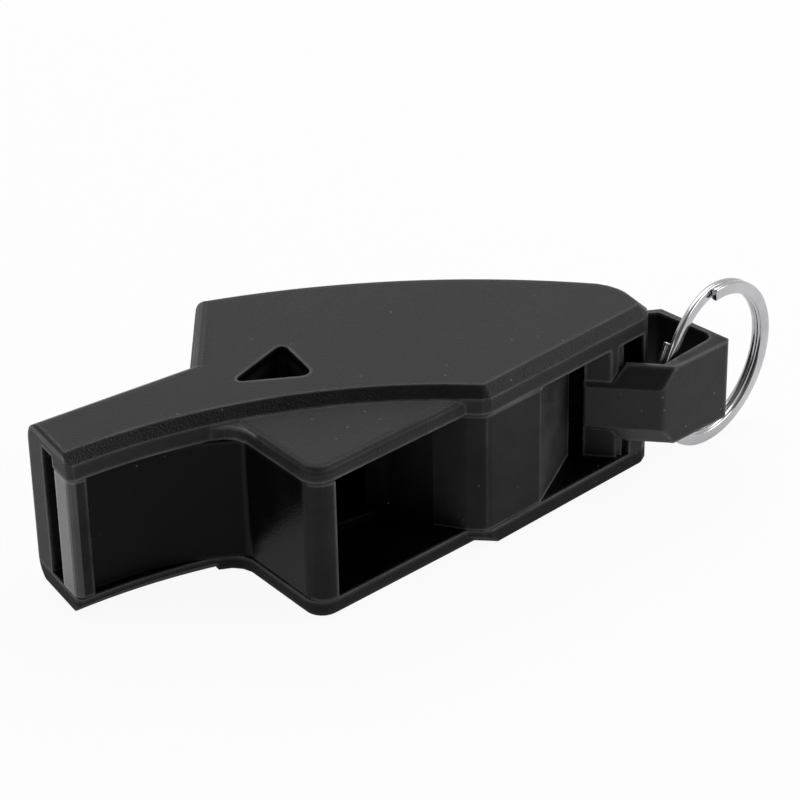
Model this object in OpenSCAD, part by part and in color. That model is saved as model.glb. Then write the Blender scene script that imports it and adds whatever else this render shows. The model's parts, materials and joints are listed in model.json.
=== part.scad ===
// A pealess referee's whistle, lying on its flat side: a C-shaped shell, the voicing core that slides into its
// open front, a lanyard clip that snaps over the nose, and a split ring through the clip.
// Plan sizes are measured from the mouth end along the airway (x) and from the airway's middle line (y).

/* [Body] */
// Thickness of the whistle, from side to side
body_t = 18; // [16:0.5:21]
// Length from the mouth end to the nose
body_l = 60; // [58:0.2:62]
// Depth of the back edge behind the airway line at the mouth
mouth_back = 4.6; // [4.2:0.1:5.2]
// Depth of the front edge before the airway line at the mouth
mouth_front = 3.7; // [3.4:0.1:4.2]
// Distance from the mouth end to the foot of the dorsal fin
dorsal_x = 17.3; // [16:0.1:19]
// Rise of the dorsal fin's corner above the airway line
dorsal_h = 15.5; // [14:0.1:16.5]
// Slope of the dorsal fin's leading edge
dorsal_slope = 58.5; // [54:0.5:62]
// Distance from the mouth end to the front corner of the tail
tail_x = 38; // [36.5:0.1:39]
// Drop of that corner before the airway line
tail_drop = 15; // [14.5:0.1:15.6]
// Slope of the tail's straight front edge
tail_slope = 11; // [9.5:0.5:12.5]
// Radius of the hollow belly edge
belly_r = 56.1; // [54:0.1:60]
// Radius of the long back edge
back_r = 85; // [80:1:95]
// Radius of the nose, seen from above
nose_r = 6.5; // [5:0.5:7]
// Chamfer along the front edges
edge_chamfer = 1.07; // [0.7:0.05:1.3]
// Round along the back edges
edge_round = 2.3; // [1.6:0.1:2.6]

/* [Walls] */
// Thickness of the plate that lies on the table
floor_t = 2.1; // [1.6:0.1:2.6]
// Thickness of the top plate inside its lip
roof_t = 1.65; // [1.4:0.05:2]
// Depth of the lip that hangs round the top plate
lip_drop = 1.17; // [0.8:0.01:1.6]
// Thickness of that lip
lip_t = 1.5; // [1.2:0.1:1.9]
// Thickness of the closed back wall
back_wall = 2; // [1.6:0.1:2.6]
// Thickness of the wall behind the mouth slot
mouth_wall = 2.95; // [2.4:0.05:3.1]
// Thickness of the core's walls
core_wall = 1.6; // [1.3:0.1:1.9]

/* [Mouth] */
// Distance from the airway line to the slot's front edge
slot_front = 0.55; // [0.4:0.05:0.8]
// Length of the bar beside the slot
bar_l = 1.8; // [1.4:0.1:2.4]
// How far the grip panel lies behind the bar
panel_recess = 0.85; // [0.5:0.05:1.1]

/* [Belly fin] */
// Distance from the mouth end to the fin's tip
fin_x = 20.2; // [19.6:0.1:20.8]
// Drop of the fin's tip before the airway line
fin_drop = 16.5; // [15.8:0.1:17.2]
// Radius of the fin's rounded tip
fin_r = 2; // [1.5:0.1:2.2]
// Round along the fin's upper edge
fin_round = 0.8; // [0.4:0.1:1]

/* [Windows] */
// Distance from the mouth end to the near corner of the rear window
rear_window_x = 44.8; // [44:0.1:45.6]
// Length of the ramp that runs into the rear window
ramp_l = 8.9; // [8:0.1:9.1]
// Slope of that ramp
ramp_slope = 38; // [37:0.5:40]
// Length of the triangular hole along the airway
tube_l = 7.6; // [6.5:0.1:8]
// Width of the triangular hole
tube_w = 6.7; // [5.5:0.1:7]
// Thickness of the triangular tube's wall
tube_wall = 1.1; // [0.9:0.1:1.3]

/* [Lanyard clip] */
// Height of the clip's loop
clip_h = 8.8; // [8:0.1:9.6]
// Height of the tongues
tongue_h = 5.5; // [4.8:0.1:6]
// Length of the tongues
tongue_l = 2.8; // [2.6:0.1:3]
// Thickness of the clip's near arm
near_arm_t = 1.6; // [1.5:0.05:1.8]
// Thickness of the clip's far arm and end walls
far_arm_t = 1.8; // [1.6:0.1:2]
// Width of the bevels on the clip's outer faces
clip_bevel = 1.2; // [0.8:0.1:1.3]
// Radius of the snap bosses
boss_r = 1; // [0.8:0.05:1.2]
// Clearance round the seated clip
seat_gap = 0.15; // [0.1:0.05:0.25]

/* [Split ring] */
// Outer radius of the ring
ring_r = 8.7; // [8.5:0.05:8.9]
// Width of the flat wire, seen along the ring's axis
wire_w = 1.3; // [1.1:0.05:1.4]
// Thickness of the flat wire
wire_t = 0.68; // [0.55:0.01:0.75]
// Degrees of turn over which the wire crosses from one layer to the other
cross_turn = 40; // [30:1:60]
// Clearance between the ring's wire and the clip's near wall
ring_gap = 0.2; // [0.15:0.05:0.4]

/* [Hidden] */

plastic = [0.045, 0.045, 0.05];
clip_plastic = [0.06, 0.06, 0.065];
steel = [0.78, 0.78, 0.8];

// The frame's origin: on the face it rests on, below the airway line, this far from the mouth end
origin_x = 30;
cut = 1;
seam = 0.06;
nose_wall = 1.3;

seam_z = body_t - roof_t - lip_drop;
roof_z = body_t - roof_t;
fin_top = body_t - edge_chamfer - 0.06;
mid_z = (floor_t + seam_z) / 2;

// Plane geometry

function turned(v, a) = [v[0] * cos(a) - v[1] * sin(a), v[0] * sin(a) + v[1] * cos(a)];
function along(a) = [cos(a), sin(a)];
function meet(p, a, q, b) =
    let (w = q - p, s = along(a), t = along(b), k = (w[0] * t[1] - w[1] * t[0]) / (s[0] * t[1] - s[1] * t[0]))
    p + k * s;

// An outline is a list of corners [x, y, radius, steps], anticlockwise; 0 steps keep a corner sharp. inset holds
// one distance inwards for each edge; edge i leaves corner i. Every inset of one outline has the same number of points.
function heading(c, i) =
    let (n = len(c), p = c[i % n], q = c[(i + 1) % n]) atan2(q[1] - p[1], q[0] - p[0]);
function edge_point(c, inset, i) =
    let (n = len(c)) [c[i % n][0], c[i % n][1]] + inset[i % n] * along(heading(c, i) + 90);
function corner_arc(c, inset, i) =
    let (
        n = len(c), before = (i + n - 1) % n, at = i % n,
        a = heading(c, before), b = heading(c, at),
        turn = ((b - a + 540) % 360) - 180, side = sign(turn),
        p = meet(edge_point(c, inset, before), a, edge_point(c, inset, at), b),
        r = max(0.05, c[at][2] - side * (inset[before] + inset[at]) / 2),
        start = p - r * tan(abs(turn) / 2) * along(a),
        middle = start + side * r * along(a + 90)
    )
    c[at][3] == 0 ? [p] : [for (k = [0 : c[at][3]]) middle + turned(start - middle, turn * k / c[at][3])];
function rounded(c, inset) = [for (i = [0 : len(c) - 1]) each corner_arc(c, inset, i)];
function plain(c) = rounded(c, [for (k = c) 0]);

// A solid through rings of equal length, one above the other
module loft(rings, levels) {
    n = len(rings[0]);
    top = len(rings) - 1;
    polyhedron(
        points = [for (k = [0 : top]) each [for (p = rings[k]) [p[0], p[1], levels[k]]]],
        faces = concat(
            [[for (i = [0 : n - 1]) i]],
            [for (k = [0 : top - 1], i = [0 : n - 1])
                let (a = k * n + i, b = k * n + (i + 1) % n) each [[a, b + n, b], [a, a + n, b + n]]],
            [[for (i = [n - 1 : -1 : 0]) top * n + i]]
        ));
}

module slab(low, high) translate([-200, -200, low]) cube([400, 400, high - low]);
module prism(points, low, high) translate([0, 0, low]) linear_extrude(high - low) polygon(points);
module place() translate([-origin_x, 0, 0]) children();

// Plan of the body: two circles and the straight edges between them

tail = [tail_x, -tail_drop];
nose_front = meet(tail, tail_slope, [body_l, 0], 90);
belly_mid = [4.2, -mouth_front + 0.06 - belly_r];
dorsal_foot = [dorsal_x, mouth_back + 0.58];
mouth_slope = 2;
// A little sharper than the back's, so that the two rounds meet in one clean line
dorsal_round = 0.93 * edge_round;
dorsal = meet(dorsal_foot, dorsal_slope, [0, dorsal_h], 0);
nose_back = [body_l, -4.4];

// Middle of the circle of radius r that passes p and q, on the right of the way from p to q
function circle_mid(p, q, r) =
    let (h = (q - p) / 2, l = norm(h), n = [h[1], -h[0]] / l) p + h + n * sqrt(r * r - l * l);
back_mid = circle_mid(dorsal, nose_back, back_r);

// A wide block whose side runs from p in direction a, with the solid on its left; edges holds its profile as
// [inwards, up] points from the bottom to the top
module side_block(p, a, edges)
    translate([p[0], p[1], 0]) rotate(a) rotate([90, 0, 90]) translate([0, 0, -90]) linear_extrude(180)
        polygon(concat(edges, [[180, body_t + 9], [180, -9]]));
function chamfered(low, high) = [[low + 9, -9], [0, low], [0, body_t - high], [high + 9, body_t + 9]];
function softened(r) = concat(
    [[r + 1, -0.4]],
    [for (k = [5 : -1 : 0]) [r * (1 - cos(18 * k)), r * (1 - sin(18 * k)) - 0.03 * sin(18 * k)]],
    [for (k = [0 : 5]) [r * (1 - cos(18 * k)), body_t - r * (1 - sin(18 * k)) + 0.03 * sin(18 * k)]],
    [[r + 1, body_t + 0.4]]);

// A side in direction s that touches the round of radius r on the corner at p, between directions a and b
module corner_block(p, a, b, r, s, edges) {
    mid = p - r * tan((b - a) / 2) * along(a) + r * along(a + 90);
    side_block(mid + r * along(s - 90), s, edges);
}

// What rounds the upright edge where a side in direction a meets one in direction b at p
module edge_rounding(p, a, b, r) {
    turn = ((b - a + 540) % 360) - 180;
    start = p - r * tan(turn / 2) * along(a);
    mid = start + r * along(a + 90);
    out = 0.015 * along((a + b) / 2 - 90);
    prism(concat([for (k = [0 : 5]) mid + out + turned(start - mid, turn * k / 5)],
        [p + 3 * along((a + b) / 2 - 90) + 2 * along(b), p + 3 * along((a + b) / 2 - 90) - 2 * along(a)]),
        -cut, body_t + cut);
}

module body_block() difference() {
    intersection() {
        union() {
            intersection() {
                translate([back_mid[0], back_mid[1], 0]) rotate(30) rotate_extrude(angle = 75, $fn = 180)
                    polygon(concat([for (e = softened(edge_round)) [back_r - e[0], e[1]]],
                        [[30, body_t + 0.4], [30, -0.4]]));
                side_block(dorsal, dorsal_slope + 180, softened(dorsal_round));
                side_block([body_l, 0], 90, chamfered(0.3, edge_chamfer));
                side_block(tail, tail_slope, chamfered(0.3, edge_chamfer));
                corner_block(tail, -36, tail_slope, 2.5, -12, chamfered(0.36, 0.94 * edge_chamfer));
                corner_block(nose_front, tail_slope, 90, nose_r / 3, 37, chamfered(0.36, 0.94 * edge_chamfer));
                corner_block(nose_front, tail_slope, 90, nose_r / 3, 64, chamfered(0.33, 0.97 * edge_chamfer));
                corner_block(nose_back, 90, 138, nose_r, 103, softened(0.8 * edge_round));
                corner_block(nose_back, 90, 138, nose_r, 115, softened(0.87 * edge_round));
                corner_block(nose_back, 90, 138, nose_r, 127, softened(0.94 * edge_round));
            }
            intersection() {
                side_block([0, mouth_back], 180 + mouth_slope, softened(edge_round));
                side_block([0, 0], -90, chamfered(0.3, 0.3));
                translate([-cut, -20, -9]) cube([dorsal_x + 6, 40, 40]);
            }
        }
        slab(0, body_t);
    }
    translate([belly_mid[0], belly_mid[1], 0]) rotate(40) rotate_extrude(angle = 70, $fn = 180)
        polygon([[15, -9], [belly_r + 1.3 * edge_chamfer + 9, -9], [belly_r, 1.3 * edge_chamfer],
            [belly_r, body_t - edge_chamfer], [belly_r + edge_chamfer + 9, body_t + 9], [15, body_t + 9]]);
    edge_rounding(dorsal, 166, dorsal_slope + 180, 1.3);
    edge_rounding([0, -mouth_front - 0.1], -90, 0, 0.8);
}

// The body's plan with each side drawn in by its own wall
module body_plan(back, dorsal_in, mouth, end, nose, tail_in, belly_in) difference() {
    union() {
        intersection() {
            translate(back_mid) circle(back_r - back, $fn = 180);
            polygon([
                meet(dorsal + dorsal_in * along(dorsal_slope - 90), dorsal_slope, [0, 30], 0),
                meet(dorsal + dorsal_in * along(dorsal_slope - 90), dorsal_slope, [0, -8.5], 0),
                tail + tail_in * along(tail_slope + 90) - 5 * along(tail_slope),
                meet(tail + tail_in * along(tail_slope + 90), tail_slope, [body_l - nose, 0], 90),
                [body_l - nose, 30]
            ]);
        }
        polygon([[end, mouth_back - mouth], [end, -9], [dorsal_x + 4, -9],
            [dorsal_x + 4, mouth_back - mouth + tan(mouth_slope) * (dorsal_x + 4)]]);
    }
    translate(belly_mid) circle(belly_r + belly_in, $fn = 180);
}

// Belly fin

window_end = [tail[0] - 1.6, -tail_drop + 1.2];
flank_top = [17, -5.9];
post_corner = [fin_x - 1.95, -fin_drop - 0.25];
fin_outline = [
    [post_corner[0] - 2, flank_top[1] + 3.4, 0.1, 1],
    [post_corner[0], post_corner[1], fin_r, 6],
    [window_end[0] + 1.5, window_end[1] + 0.3, 0.1, 1],
    [window_end[0], -5, 0.1, 1]
];
// Fills the inner corner between the belly edge and the fin's flank
fin_fillet = [[14.3, -4], [14.3, -4.62], [15.5, -5.05], [16.3, -5.75], [16.8, -6.7], [17.05, -8], [18.5, -8], [18.5, -4]];
function fin_inset(z) =
    let (u = max(0, z - fin_top + fin_round), d = fin_round - sqrt(max(0, fin_round * fin_round - u * u)))
    [d, d, 0, 0];

// The fin's bottom plate, and its top plate with a rounded rim; the core fills the space between them
module fin_block() {
    low = [0, 0.35, fin_round, floor_t + 0.4];
    loft([for (z = low) rounded(fin_outline, fin_inset(fin_top - z))], low);
    prism(fin_fillet, 0.6, floor_t + 0.3);
    prism(fin_fillet, seam_z - 0.3, fin_top - 0.3);
    levels = concat([seam_z - 0.4], [for (a = [0, 30, 60, 90]) fin_top - fin_round * (1 - sin(a))]);
    loft([for (z = levels) rounded(fin_outline, fin_inset(z))], levels);
}

// Triangular tube that splits the airway

tube_tip = [18.7, -0.6];
tube_back = tube_tip + [tube_l, 3.5];
tube_front = tube_tip + [tube_l - 0.3, 3.5 - tube_w];
tube_outline = [
    [tube_tip[0], tube_tip[1], 0.5, 3],
    [tube_front[0], tube_front[1], 0.9, 4],
    [tube_back[0], tube_back[1], 0.7, 4]
];

// Lanyard clip, in its own plan axes: u runs out of the nose, v towards the back

clip_pos = [66.4, -11.6];
clip_turn = -31;
module clip_frame() translate([clip_pos[0], clip_pos[1], 0]) rotate(clip_turn) children();

tongue_u = -12.94;
arm_slope = -8.5;
near_face_v = -6.03;
far_face_v = 4.75;
near_corner = [-5.25, near_face_v + (-5.25 - tongue_u) * tan(arm_slope)];
far_corner = [-4.2, far_face_v - (-4.2 - tongue_u) * tan(arm_slope)];
clip_outer = [
    [tongue_u, near_face_v, 0.3, 2],
    [near_corner[0], near_corner[1], 0.8, 4],
    [1.6, -1.5, 0.8, 4],
    [1.3, 0.75, 1.5, 4],
    [far_corner[0], far_corner[1], 1.5, 5],
    [tongue_u, far_face_v, 0.3, 2]
];
near_inner_v = near_face_v + near_arm_t;
far_inner_v = far_face_v - far_arm_t;
clip_inner = [
    [tongue_u - 2, near_inner_v - 2 * tan(arm_slope), 0, 0],
    [-5.1, near_inner_v + (-5.1 - tongue_u) * tan(arm_slope), 0.3, 3],
    [0.15, -0.55, 1, 6],
    [-4.9, far_inner_v - (-4.9 - tongue_u) * tan(arm_slope), 0.8, 4],
    [tongue_u - 2, far_inner_v + 2 * tan(arm_slope), 0, 0]
];
ramp_u = tongue_u + tongue_l;
foot_x = 56.9;
wide_u = ramp_u + 1.4;

// Side view of the clip: narrow tongues that widen by a ramp into the loop. grow widens it for its seat.
function clip_side(grow) =
    let (t = tongue_h / 2 + grow, h = clip_h / 2 + grow)
    [[tongue_u - 5, -t], [ramp_u - grow, -t], [wide_u - grow, -h], [5, -h],
     [5, h], [wide_u - grow, h], [ramp_u - grow, t], [tongue_u - 5, t]];

module clip_profile(grow)
    translate([0, 12, mid_z]) rotate([90, 0, 0]) linear_extrude(24) polygon(clip_side(grow));

// What a bevel takes off a face that runs from p in direction a, with the solid on its left
module bevel_cut(p, a, reach) {
    rise = (clip_h - 4.5) / 2;
    for (s = [-1, 1])
        translate([p[0], p[1], mid_z]) rotate(a) rotate([90, 0, 90]) linear_extrude(reach)
            polygon([[0, s * (clip_h / 2 - rise)], [clip_bevel, s * clip_h / 2],
                [clip_bevel * 1.5, s * (clip_h / 2 + rise / 2)], [-3, s * (clip_h / 2 + rise / 2)],
                [-3, s * (clip_h / 2 - rise)]]);
}

boss_u = tongue_u + 1.5;
boss_l = 0.9;
module boss(v, out, r, l)
    translate([boss_u, v, mid_z]) rotate([-90 * out, 0, 0]) translate([0, 0, -0.4]) cylinder(r = r, h = l + 0.4, $fn = 48);

// Split ring: it stands on the table with its wire ring_gap clear of the loop's near wall, so its middle follows
// from where the wire passes that wall

ring_turn = -74;
wire_pass = clip_pos + turned([-5.7114, near_inner_v - 0.6577 + ring_gap], clip_turn);
ring_pos = [each wire_pass + ring_r * along(ring_turn + 90), ring_r + 0.06];
layer_gap = 0.05;
layer_z = (wire_t + layer_gap) / 2;
end_a = 128;

module ring_frame() translate(ring_pos) rotate([0, 0, ring_turn]) rotate([0, 90, 0]) children();

function wire_section(z, in = 0) =
    let (a = ring_r - wire_w + in, b = ring_r - in, h = wire_t / 2 - in) [[a, z - h], [b, z - h], [b, z + h], [a, z + h]];

module wire_layer(z, from, sweep)
    rotate([0, 0, from]) rotate_extrude(angle = sweep, $fn = 96) polygon(wire_section(z));

// The stretch where the wire steps from the lower layer to the upper one
module wire_crossing(from, sweep) {
    steps = 10;
    s = [for (k = [0 : steps])
        let (a = from - 1 + (sweep + 2) * k / steps, z = -layer_z * cos(180 * k / steps))
        each [for (q = wire_section(z, 0.02)) [q[0] * cos(a), q[0] * sin(a), q[1]]]];
    polyhedron(points = s, faces = concat(
        [[3, 2, 1, 0]],
        [for (k = [0 : steps - 1], j = [0 : 3])
            let (a = 4 * k + j, b = 4 * k + (j + 1) % 4) each [[a, b + 4, a + 4], [a, b, b + 4]]],
        [[for (j = [0 : 3]) 4 * steps + j]]));
}

// Pieces

nose_block = [[-12.8, near_inner_v + 0.05], [-9, near_inner_v - 0.5], [-8.4, 1.9], [-12.8, far_inner_v - 0.05]];

// All that is hollow inside the outer skin, with the tube and the nose blocks left standing
module cavity() difference() {
    union() {
        translate([0, 0, floor_t]) linear_extrude(seam_z - floor_t) {
            body_plan(back_wall, back_wall, mouth_wall, -cut, nose_wall, -3, -3);
            polygon([[10, -3], [10, -30], [body_l - nose_wall, -30], [body_l - nose_wall, -6], [36, -6]]);
        }
        translate([0, 0, seam_z - cut]) linear_extrude(roof_z - seam_z + cut)
            body_plan(back_wall, back_wall, mouth_wall, lip_t, nose_wall, lip_t, lip_t);
        translate([-cut, 0.15 - slot_front, floor_t + 0.25])
            cube([lip_t + 2 * cut, mouth_back - mouth_wall + slot_front - 0.15, roof_z - floor_t - 0.25]);
    }
    prism(rounded(tube_outline, [-tube_wall, -tube_wall, -tube_wall]), floor_t - cut, roof_z + cut);
    clip_frame() prism(nose_block, floor_t - cut, roof_z + cut);
    nose_seats();
}

module clip_seat() clip_frame() {
    intersection() {
        difference() {
            prism(rounded(clip_outer, [for (k = clip_outer) -seat_gap]), 1, body_t - 1);
            prism(rounded(clip_inner, [for (k = clip_inner) seat_gap]), 0, body_t);
        }
        clip_profile(seat_gap);
    }
    boss(near_inner_v, 1, boss_r + 0.05, boss_l + 0.1);
    boss(far_inner_v, -1, boss_r + 0.05, boss_l + 0.1);
}

module shell() place() color(plastic) difference() {
    union() {
        body_block();
        fin_block();
    }
    cavity();
    prism(plain(tube_outline), -cut, body_t + cut);
    clip_seat();
}

// The blocks round the near tongue: one above it, flush with its face, one set back below it, and the nose's foot
module nose_seats() {
    clip_frame() {
        seat_block(0, mid_z, roof_z + cut);
        seat_block(1.2, floor_t - cut, mid_z);
    }
    translate([foot_x, -20, floor_t - cut]) cube([20, 16, mid_z - clip_h / 2 - seat_gap - 0.02 - floor_t + cut]);
}
module seat_block(back, low, high)
    prism([[tongue_u + 0.1, near_face_v + back], [ramp_u + 0.6, near_face_v - 0.5 + back],
        [ramp_u + 0.6, near_inner_v + 0.3], [tongue_u + 0.1, near_inner_v + 0.3]], low, high);

// Core

panel_left = [bar_l, -mouth_front + panel_recess];
front_wall = [
    [0, -slot_front - 0.13, 0, 0],
    [0, -mouth_front, 0.8, 4],
    [bar_l, -mouth_front, 0.15, 2],
    [bar_l + 0.1, panel_left[1], 0, 0],
    [10.2, panel_left[1] - 0.1, 22, 10],
    [post_corner[0] - 1.4, flank_top[1] - 0.1, 1.2, 4],
    [post_corner[0] + 0.05, post_corner[1] + 0.05, fin_r, 6],
    [fin_x + 0.4, -fin_drop + 0.02, 0, 0],
    [fin_x + 0.3, -fin_drop + 1.4, 0, 0],
    [fin_x - 0.4, -fin_drop + 3.4, 0, 0],
    [19.4, -7.2, 0, 0],
    [16.3, -3.6, 0, 0],
    [11, -1.6, 0, 0],
    [5, -slot_front - 0.2, 0, 0]
];

module voicing_core() place() color(plastic) {
    core_h = seam_z - floor_t - seam;
    translate([0, 0, floor_t]) linear_extrude(core_h) core_plan();
    translate([0, 0, floor_t]) linear_extrude(web_t)
        polygon([[17, -5], [19.3, -6.9], labium + [0.6, -0.6], labium + [0.8, 1], labium + [-1.5, 1.3], [18.2, -5.2]]);
}

ramp_foot = [rear_window_x, 0];
rear_edge = meet(tail, tail_slope, ramp_foot, 90);
ramp_tip = rear_edge + ramp_l * along(ramp_slope);
web_t = 0.8;
labium = [29.5, -6.6];
splitter = [31, 1.2];

module core_plan() {
    polygon(plain(front_wall));
    // Ramp, tail wall and chamber wall, as one closed wall round the sound chamber
    difference() {
        polygon(concat(
            [labium, [31.2, -8], [33.6, -10.6], window_end],
            [tail + [-0.5, 0.42], tail + [0.02, 0.14], tail + [0.6, 0.18]],
            [rear_edge, ramp_tip, ramp_tip + [-0.5, 0.9], splitter]));
        polygon([labium + [1.2, 0.9], labium + [1.4, 5.5], splitter + [1.4, -1.4], ramp_tip + [-3.2, -0.2],
            rear_edge + [-0.9, core_wall], tail + [0.9, 2], [34.4, -9.4], [32, -7]]);
    }
}

module lanyard_clip() place() color(clip_plastic) clip_frame() {
    difference() {
        intersection() {
            prism(plain(clip_outer), 0, body_t);
            clip_profile(0);
        }
        prism(plain(clip_inner), -cut, body_t + cut);
        bevel_cut([tongue_u - 4, near_face_v - 4 * tan(arm_slope)], arm_slope, 20);
        bevel_cut([1.3, 0.75] - 3 * along(135.8), 135.8, 12);
        bevel_cut([far_corner[0], far_corner[1]] + 3 * along(-arm_slope), 180 - arm_slope, 16);
    }
    boss(near_inner_v, 1, boss_r, boss_l);
    boss(far_inner_v, -1, boss_r, boss_l);
}

module split_ring() place() color(steel) ring_frame() {
    wire_layer(-layer_z, end_a, 360 - cross_turn);
    wire_layer(layer_z, end_a, 360 - cross_turn);
    wire_crossing(end_a - cross_turn, cross_turn);
}

shell();
voicing_core();
lanyard_clip();
split_ring();
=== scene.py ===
# %% [markdown]
# # A referee's whistle, dressed for its picture
# The whistle lies on its flat side. Its solids come from the CAD frame, and this notebook gives them their finish,
# lays them on a white table, lights them like a small product on a light table and sets the camera.

# %% Load the frame
import json
from math import cos, pi, radians, sin

import bmesh
import bpy
from mathutils import Matrix, Vector


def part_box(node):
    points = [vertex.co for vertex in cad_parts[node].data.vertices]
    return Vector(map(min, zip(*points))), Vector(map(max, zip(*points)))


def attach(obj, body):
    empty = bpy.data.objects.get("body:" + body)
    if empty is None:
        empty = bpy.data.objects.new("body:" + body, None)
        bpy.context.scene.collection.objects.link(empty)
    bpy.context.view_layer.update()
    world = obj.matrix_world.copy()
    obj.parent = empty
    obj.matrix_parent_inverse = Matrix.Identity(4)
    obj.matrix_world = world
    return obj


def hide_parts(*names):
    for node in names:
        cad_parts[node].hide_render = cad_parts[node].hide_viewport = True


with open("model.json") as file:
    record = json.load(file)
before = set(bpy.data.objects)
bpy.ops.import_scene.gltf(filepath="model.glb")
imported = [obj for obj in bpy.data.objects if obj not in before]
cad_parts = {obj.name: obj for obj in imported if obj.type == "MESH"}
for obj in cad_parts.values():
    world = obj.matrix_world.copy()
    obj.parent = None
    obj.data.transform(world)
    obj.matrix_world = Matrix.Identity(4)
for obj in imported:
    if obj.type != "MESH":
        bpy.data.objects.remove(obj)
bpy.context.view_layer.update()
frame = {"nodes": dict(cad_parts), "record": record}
print("nodes:", sorted(frame["nodes"]))

# %% [markdown]
# ## Writing shader maths as plain expressions
# A material is a web of nodes. Wiring each Math node by hand hides the idea, so a small wrapper round a socket
# lets a line such as `0.4 + 0.1 * mask` add the nodes by itself. One more method makes any other node.

# %% A wrapper for sockets
class Wire:
    """A node socket that can be added, subtracted and multiplied."""

    def __init__(self, tree, socket):
        self.tree = tree
        self.socket = socket

    def node(self, kind, settings=None, out=0, **inputs):
        """Any node: its settings are set first, then the values or links of its sockets."""
        made = self.tree.nodes.new(kind)
        for name, value in (settings or {}).items():
            if name == "stops":
                for stop, (position, colour) in zip(made.color_ramp.elements, value):
                    stop.position, stop.color = position, colour
            else:
                setattr(made, name, value)
        for name, value in inputs.items():
            key = int(name[1:]) if name[0] == "i" and name[1:].isdigit() else name.replace("_", " ")
            if isinstance(value, Wire):
                self.tree.links.new(value.socket, made.inputs[key])
            else:
                made.inputs[key].default_value = value
        return Wire(self.tree, made.outputs[out])

    def maths(self, operation, first, second):
        return self.node("ShaderNodeMath", {"operation": operation}, i0=first, i1=second)

    def __add__(self, other):
        return self.maths("ADD", self, other)

    def __radd__(self, other):
        return self.maths("ADD", other, self)

    def __sub__(self, other):
        return self.maths("SUBTRACT", self, other)

    def __rsub__(self, other):
        return self.maths("SUBTRACT", other, self)

    def __mul__(self, other):
        return self.maths("MULTIPLY", self, other)

    def __rmul__(self, other):
        return self.maths("MULTIPLY", other, self)


print("Wire:", Wire.__doc__)

# %% A plain material
def new_material(name, **constants):
    """A material with a plain shader; constants are set on the shader's own sockets."""
    material = bpy.data.materials.new(name)
    material.use_nodes = True
    shader = material.node_tree.nodes["Principled BSDF"]
    for key, value in constants.items():
        shader.inputs[key.replace("_", " ")].default_value = value
    place = material.node_tree.nodes.new("ShaderNodeTexCoord")
    return material, shader, Wire(material.node_tree, place.outputs["Object"])


def feed(shader, **wires):
    for key, wire in wires.items():
        wire.tree.links.new(wire.socket, shader.inputs[key.replace("_", " ")])


def grey(level):
    return (level, level, level * 1.02, 1)


print("middle grey:", grey(0.18))

# %% [markdown]
# ## The moulded plastic
# The shell comes out of a steel mould whose faces were spark-eroded: a very fine grain that breaks the light into
# a soft sheen. A photograph of the grain would only fit one size, so it is worked out from the place on the piece:
# a fine noise for the grain through a Bump node, a slow one for where hands have polished it, and a few specks of
# dust at the middles of Voronoi cells. Black plastic mirrors little, so the specular level is kept low. No mould is
# quite sharp either: a Bevel node turns the normals near each edge, which rounds it to the eye without a new face on
# the solid. A second, wider Bevel node finds where an edge is near: the more its normal leaves the face's own, the
# paler and smoother the plastic. Fingers and pockets rub edges smooth and pale, and the paler colour there is also a
# painted highlight along the rims.

# %% Plastic finishes
EDGE_RADIUS = 0.0003
WEAR_AND_HIGHLIGHT_RADIUS = 0.0007
WEAR_AND_HIGHLIGHT_STARTS = 0.975
WEAR_AND_HIGHLIGHT_IS_FULL = 0.90
HANDLING_SCALE = 140.0
STREAK_TURN = radians(31)
STREAK_SCALE = (400, 9000, 3000)
DUST_SCALE = 430.0
DUST = grey(0.25)
COAT_ROUGHNESS = 0.14


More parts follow.
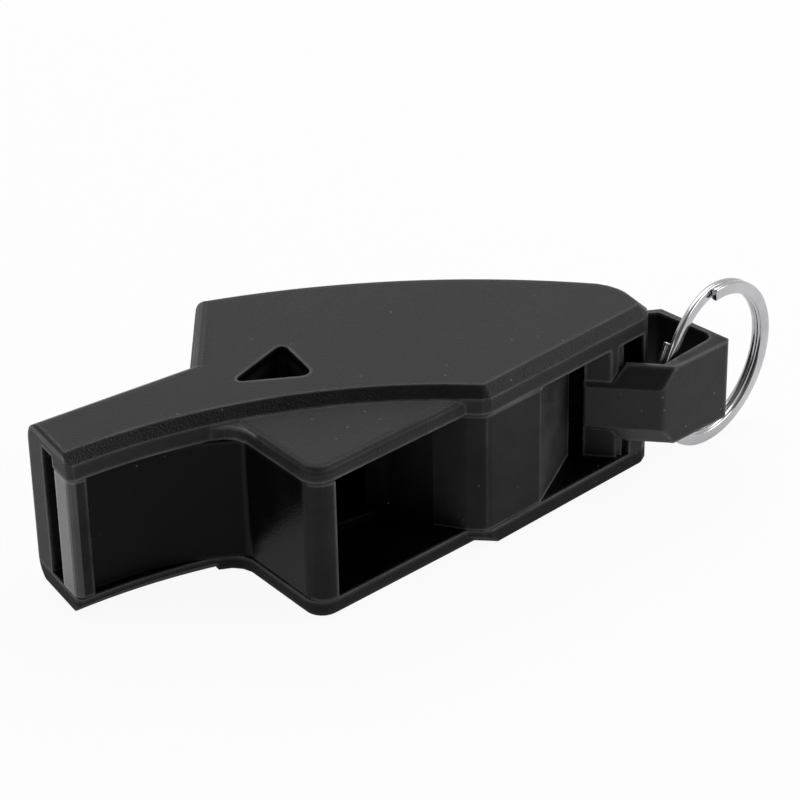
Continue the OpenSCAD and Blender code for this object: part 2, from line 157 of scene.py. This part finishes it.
def plastic(name, mirror, rim_wear_and_highlight, level, rough, grain, depth, coat=None):
    """A plastic material. level, rough and coat give a number from the place, for a finish that varies.

    mirror is the specular level; the next argument is how much paler an edge is, from wear and from a painted
    highlight; grain and depth are in metres.
    """
    material, shader, place = new_material(name, Specular_IOR_Level=mirror, Coat_Roughness=COAT_ROUGHNESS)
    spot = [place.node("ShaderNodeSeparateXYZ", out=k, Vector=place) for k in range(3)]
    fine = place.node("ShaderNodeTexNoise", Vector=place, Scale=1 / grain, Detail=2.0, Roughness=0.6)
    slow = place.node("ShaderNodeTexNoise", Vector=place, Scale=HANDLING_SCALE, Detail=4.0, Roughness=0.65)
    streak = place.node("ShaderNodeMapping", Vector=place, Rotation=(0, 0, STREAK_TURN), Scale=STREAK_SCALE)
    rubbed = place.node("ShaderNodeTexNoise", Vector=streak, Scale=1.0, Detail=3.0)

    edge = place.node("ShaderNodeBevel", {"samples": 4}, Radius=EDGE_RADIUS)
    flat = place.node("ShaderNodeNewGeometry", out=1)
    near_edge = place.node("ShaderNodeBevel", {"samples": 6}, Radius=WEAR_AND_HIGHLIGHT_RADIUS)
    turned = place.node("ShaderNodeVectorMath", {"operation": "DOT_PRODUCT"}, out=1, i0=near_edge, i1=flat)
    worn_and_highlit = place.node("ShaderNodeMapRange", Value=turned, From_Min=WEAR_AND_HIGHLIGHT_STARTS, From_Max=WEAR_AND_HIGHLIGHT_IS_FULL)

    cell = place.node("ShaderNodeTexVoronoi", Vector=place, Scale=DUST_SCALE)
    speck = place.node("ShaderNodeValToRGB", {"stops": [(0.03, grey(1)), (0.06, grey(0))]}, Fac=cell)
    # The colour is paler near edges: rubbing wear, and a painted highlight along the rims.
    shade = (3.2 * slow - 0.6) * (1 + rim_wear_and_highlight * worn_and_highlit) * level(*spot)
    paint = place.node("ShaderNodeCombineColor", Red=shade, Green=shade, Blue=shade * 1.02)
    dusty = place.node("ShaderNodeMix", {"data_type": "RGBA"}, out=2, i0=speck * rubbed * 0.8, i6=paint, i7=DUST)
    bump = place.node("ShaderNodeBump", Height=fine + 0.2 * rubbed, Strength=1.0, Distance=depth, Normal=edge)
    feed(shader, Base_Color=dusty, Roughness=rough(*spot) + 0.3 * slow - 0.12 * worn_and_highlit, Normal=bump)
    if coat:
        feed(shader, Coat_Weight=coat(*spot))
    print("plastic:", name)
    return material


# %% [markdown]
# ## One moulding, several faces
# The shell's inside comes off the polished core of the mould, so the plate seen through the windows is smooth and
# mirrors only the dark of the chamber; its colour there is also darkened, as painted shade. The shell's chamfer and
# its lowest edge are darkened as painted shade as well. The voicing core carries a coarser grip panel beside a
# smooth flank, and the end of its bar is polished by use. Its colour is darkened as painted shade on the panel, on
# the flank and inside the chamber, and lightened as a painted highlight on its ramp. Each of these is a band along
# one or two directions, so comparisons of the coordinates x, y and z mark it out.

# %% Where the faces lie
def between(value, low, high):
    """1 between low and high, 0 elsewhere."""
    return value.maths("GREATER_THAN", value, low) * value.maths("LESS_THAN", value, high)


PLATE_TOP = (0.00205, 0.00215)
PLATE_EDGE = 0.0016
CHAMFER = (0.0170, 0.0179)
PANEL = (-0.0282, -0.0134)
FLANK = (-0.0134, -0.0118)
CHAMBER = (-0.0118, 0.0042)
CHAMBER_FRONT = -0.0128
RAMP_START = 0.0148
BAR_END = -0.0293
print("grip panel from", PANEL[0], "to", PANEL[1], "m along x")


# %% Finishes, painted shade and painted highlight that change with the place
def shell_level(x, y, z):
    low_edge = z.maths("LESS_THAN", z, PLATE_EDGE)
    # Painted shade: the colour is darkened on the plate seen through the windows, on the lowest edge and on the
    # chamfer.
    return 0.010 - 0.008 * between(z, *PLATE_TOP) - 0.007 * low_edge - 0.008 * between(z, *CHAMFER)


def shell_rough(x, y, z):
    low_edge = z.maths("LESS_THAN", z, PLATE_EDGE)
    return 0.38 - 0.33 * between(z, *PLATE_TOP) + 0.2 * low_edge - 0.18 * between(z, *CHAMFER)


def core_level(x, y, z):
    hidden = between(x, *CHAMBER) * y.maths("GREATER_THAN", y, CHAMBER_FRONT)
    front = between(x, PANEL[0], FLANK[1])
    # Painted shade darkens the grip panel, the flank and the inside of the chamber; a painted highlight lightens the
    # ramp.
    return 0.0125 - 0.010 * front - 0.0115 * hidden + 0.0225 * x.maths("GREATER_THAN", x, RAMP_START)


def core_rough(x, y, z):
    return 0.28 + 0.2 * between(x, *PANEL) - 0.22 * between(x, *FLANK)


def core_coat(x, y, z):
    return x.maths("LESS_THAN", x, BAR_END)


def clip_level(x, y, z):
    return 0.012


def clip_rough(x, y, z):
    return 0.24


print("finishes: shell, voicing core and clip")

# %% Three plastics
shell_plastic = plastic("eroded black plastic", 0.28, 10, shell_level, shell_rough, 0.00020, 0.00009)
core_plastic = plastic("core plastic", 0.13, 8, core_level, core_rough, 0.00030, 0.00002, core_coat)
clip_plastic = plastic("satin clip plastic", 0.28, 8, clip_level, clip_rough, 0.00035, 0.00002)

# %% [markdown]
# ## The ring's steel
# A split ring is wound from flat spring wire and nickel-plated. It is bright, with faint marks along the wire
# where keys have rubbed and where the winding tool dragged.

# %% Plated wire
def plated_wire():
    material, shader, place = new_material("nickel-plated wire", Metallic=1.0)
    rub = place.node("ShaderNodeTexNoise", Vector=place, Scale=900.0, Detail=5.0, Roughness=0.7)
    cloud = place.node("ShaderNodeTexNoise", Vector=place, Scale=260.0, Detail=2.0)
    tone = place.node("ShaderNodeMix", {"data_type": "RGBA"}, out=2, i0=cloud, i6=grey(0.68), i7=grey(0.40))
    bump = place.node("ShaderNodeBump", Height=rub, Strength=0.4, Distance=0.00001)
    feed(shader, Base_Color=tone, Roughness=0.06 + 0.2 * rub, Normal=bump)
    print("plated wire")
    return material


ring_steel = plated_wire()

# %% [markdown]
# ## Giving each solid its finish
# The CAD solids already have the right shape, so they stay as they are and only their material slots change.

# %% Dress the solids
finishes = {"shell": shell_plastic, "voicing_core": core_plastic, "lanyard_clip": clip_plastic}
for name, material in finishes.items():
    piece = frame["nodes"][name]
    piece.data.materials.clear()
    piece.data.materials.append(material)
    print(name, "wears", material.name)

# %% [markdown]
# ## Winding the split ring
# The real ring is one flat wire with rounded edges, wound almost twice round: it ends on one side of a short step
# and starts again on the other, and in the step it changes layers. The solid has square edges, so a smoother ring
# takes its place. The wire's section is a grid face with bevelled corners. Three spins carry it round: one flat
# turn, the step with a rise, and one more flat turn. It turns about the axis that the frame's joint gives.

# %% The ring's sizes
joint = frame["record"]["behaviour"]["joints"][0]
low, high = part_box("split_ring")
RING_RADIUS = (high[2] - low[2]) / 2
WIRE_WIDTH = 0.0013
WIRE_DEPTH = 0.00068
WIRE_ROUND = 0.00026
END_ROUND = 0.00012
LAYER_RISE = 0.00073
FIRST_END = radians(232)
STEP = radians(49)
TURN_FACES = 80
STEP_FACES = 12
print("ring radius", round(RING_RADIUS * 1000, 2), "mm")


# %% Wind the wire
def wind_ring():
    wire = bmesh.new()
    bmesh.ops.create_grid(wire, x_segments=1, y_segments=1, size=0.5)
    bmesh.ops.scale(wire, vec=(WIRE_WIDTH, WIRE_DEPTH, 1), verts=wire.verts)
    bmesh.ops.bevel(wire, geom=wire.verts[:], offset=WIRE_ROUND, segments=3, profile=0.5, affect="VERTICES",
                    material=-1)
    bmesh.ops.rotate(wire, matrix=Matrix.Rotation(radians(90), 3, "X"), verts=wire.verts)
    bmesh.ops.translate(wire, vec=(RING_RADIUS - WIRE_WIDTH / 2, 0, -LAYER_RISE / 2), verts=wire.verts)
    bmesh.ops.rotate(wire, matrix=Matrix.Rotation(FIRST_END, 3, "Z"), verts=wire.verts)
    section = wire.faces[:] + wire.edges[:] + wire.verts[:]
    flat_turn = (2 * pi - STEP, TURN_FACES, 0)
    for turn, steps, rise in (flat_turn, (STEP, STEP_FACES, LAYER_RISE), flat_turn):
        spun = bmesh.ops.spin(wire, geom=section, axis=(0, 0, 1), cent=(0, 0, 0), dvec=(0, 0, rise / steps),
                              angle=turn, steps=steps, use_merge=False)
        section = spun["geom_last"]
    ends = [face for face in wire.faces if len(face.verts) > 4]
    bmesh.ops.bevel(wire, geom=[edge for face in ends for edge in face.edges], offset=END_ROUND, segments=2,
                    profile=0.5, affect="EDGES", material=-1)
    bmesh.ops.recalc_face_normals(wire, faces=wire.faces)
    down, axis = Vector((0, 0, -1)), Vector(joint["axis"]).normalized()
    stance = Matrix((down, axis.cross(down), axis)).transposed().to_4x4()
    bmesh.ops.transform(wire, matrix=Matrix.Translation(joint["pos_m"]) @ stance, verts=wire.verts)
    for face in wire.faces:
        face.smooth = True
    mesh = bpy.data.meshes.new("wound_ring")
    wire.to_mesh(mesh)
    print("wound ring:", len(wire.faces), "faces,", len(ends), "ends")
    wire.free()
    return mesh


ring = bpy.data.objects.new("wound_ring", wind_ring())
bpy.context.scene.collection.objects.link(ring)
ring.data.materials.append(ring_steel)
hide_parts("split_ring")
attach(ring, "ring")

# %% [markdown]
# ## The white table
# Small products are shot on a sheet of white board that curves up behind them. Here the floor is one wide disc: it
# shows plain white to the camera and to mirror-like parts, and still takes the whistle's soft shadow.

# %% Floor
FLOOR_SIZE = 1.2
WHITE_SHARE = 0.93
MIRRORED_SHARE = 0.55


def white_floor():
    board = bmesh.new()
    bmesh.ops.create_circle(board, cap_ends=True, segments=96, radius=FLOOR_SIZE)
    mesh = bpy.data.meshes.new("table")
    board.to_mesh(mesh)
    board.free()
    table = bpy.data.objects.new("table", mesh)
    bpy.context.scene.collection.objects.link(table)
    return table


table = white_floor()
table_paint, table_shader, table_place = new_material("white board", Roughness=0.9, Base_Color=grey(0.9))
rays = table_place.node("ShaderNodeLightPath")
seen = Wire(rays.tree, rays.socket.node.outputs["Is Camera Ray"])
mirrored = Wire(rays.tree, rays.socket.node.outputs["Is Glossy Ray"])
through = Wire(rays.tree, rays.socket.node.outputs["Is Transmission Ray"])
shown = seen.maths("MAXIMUM", seen.maths("MAXIMUM", seen, MIRRORED_SHARE * mirrored), through)
glow = table_place.node("ShaderNodeEmission", Color=(1, 1, 1, 1), Strength=1.0)
lit = Wire(rays.tree, table_shader.outputs[0])
surface = table_place.node("ShaderNodeMixShader", i0=WHITE_SHARE * shown, i1=lit, i2=glow)
surface.tree.links.new(surface.socket, surface.tree.nodes["Material Output"].inputs["Surface"])
table.data.materials.append(table_paint)
print("table radius", FLOOR_SIZE)

# %% [markdown]
# ## The camera
# The picture was taken from low in front of the open side, with a long lens. A long lens far away keeps the
# mouthpiece and the ring nearly at one scale. The camera is placed from its aim point, its direction and its
# distance.

# %% Camera
AIM = Vector((0.0149, 0.0123, 0))
PITCH = radians(32.5)
TURN = radians(31)
ROLL = radians(-1.2)
DISTANCE = 0.339
FOCAL_PIXELS = 3300
PICTURE_PIXELS = 800
SENSOR = 36.0

ahead = Vector((sin(TURN) * cos(PITCH), cos(TURN) * cos(PITCH), -sin(PITCH)))
level_right = Vector((cos(TURN), -sin(TURN), 0))
level_up = level_right.cross(ahead)
right = cos(ROLL) * level_right + sin(ROLL) * level_up
up = cos(ROLL) * level_up - sin(ROLL) * level_right
lens = bpy.data.cameras.new("camera")
lens.sensor_width = SENSOR
lens.lens = FOCAL_PIXELS / PICTURE_PIXELS * SENSOR
lens.clip_start = 0.01
camera = bpy.data.objects.new("camera", lens)
stance = Matrix((right, up, -ahead)).transposed().to_4x4()
camera.matrix_world = Matrix.Translation(AIM - DISTANCE * ahead) @ stance
bpy.context.scene.collection.objects.link(camera)
bpy.context.scene.camera = camera
print("lens", round(lens.lens, 1), "mm")

# %% [markdown]
# ## Light
# Black plastic shows its form only by what it mirrors. The white sweep behind the whistle and a wide soft panel
# above it give the top plate its even grey. The room in front stays dim, so the open side and the windows fall into
# black, and weaker panels on the right and the left lift the faces that turn that way.

# %% Lamps
def soft_panel(name, place, target, size, watts):
    lamp = bpy.data.lights.new(name, "AREA")
    lamp.shape = "RECTANGLE"
    lamp.size, lamp.size_y = size
    lamp.energy = watts
    panel = bpy.data.objects.new(name, lamp)
    panel.location = place
    panel.rotation_euler = (target - place).to_track_quat("-Z", "Y").to_euler()
    bpy.context.scene.collection.objects.link(panel)
    print("panel", name, watts, "W")


CENTRE = Vector((0.01, 0, 0.009))


def from_centre(heading, height, distance):
    """A place seen from the whistle's middle at a heading and a height, both in degrees."""
    flat = cos(radians(height))
    return CENTRE + distance * Vector(
        (cos(radians(heading)) * flat, sin(radians(heading)) * flat, sin(radians(height))))


soft_panel("behind and above", from_centre(59, 54, 0.6), CENTRE, (0.5, 0.4), 1.4)
soft_panel("right", from_centre(-35, 28, 0.5), CENTRE, (0.3, 0.3), 0.8)
soft_panel("left", from_centre(175, 25, 0.5), CENTRE, (0.2, 0.3), 0.25)

# %% [markdown]
# ## The room
# The world is the rest of the room. Seen by the camera it is plain white. For the plastic and the steel it is a
# white sweep on the far side that fades to a dim room on the near side, as in a tabletop studio.

# %% World
ROOM = 0.14
SWEEP = 0.74
SWEEP_FADE = 0.35
world = bpy.data.worlds.new("studio")
bpy.context.scene.world = world
world.use_nodes = True
backdrop = world.node_tree.nodes["Background"]
backdrop.inputs["Color"].default_value = (1, 1, 1, 1)
rays = world.node_tree.nodes.new("ShaderNodeLightPath")
seen = Wire(world.node_tree, rays.outputs["Is Camera Ray"])
through = Wire(world.node_tree, rays.outputs["Is Transmission Ray"])
towards = Wire(world.node_tree, world.node_tree.nodes.new("ShaderNodeTexCoord").outputs["Generated"])
behind = towards.node("ShaderNodeVectorMath", {"operation": "DOT_PRODUCT"}, out=1, i0=towards,
                      i1=(sin(TURN), cos(TURN), 0))
sweep = behind.node("ShaderNodeMapRange", {"interpolation_type": "SMOOTHSTEP"}, Value=behind,
                    From_Min=-SWEEP_FADE, From_Max=SWEEP_FADE, To_Min=ROOM, To_Max=SWEEP)
level = seen.maths("MAXIMUM", seen.maths("MAXIMUM", seen, through), sweep)
world.node_tree.links.new(level.socket, backdrop.inputs["Strength"])
print("room", ROOM, "sweep", SWEEP)

# %% [markdown]
# ## The colour view

# %% Colour view
bpy.context.scene.view_settings.view_transform = "Standard"
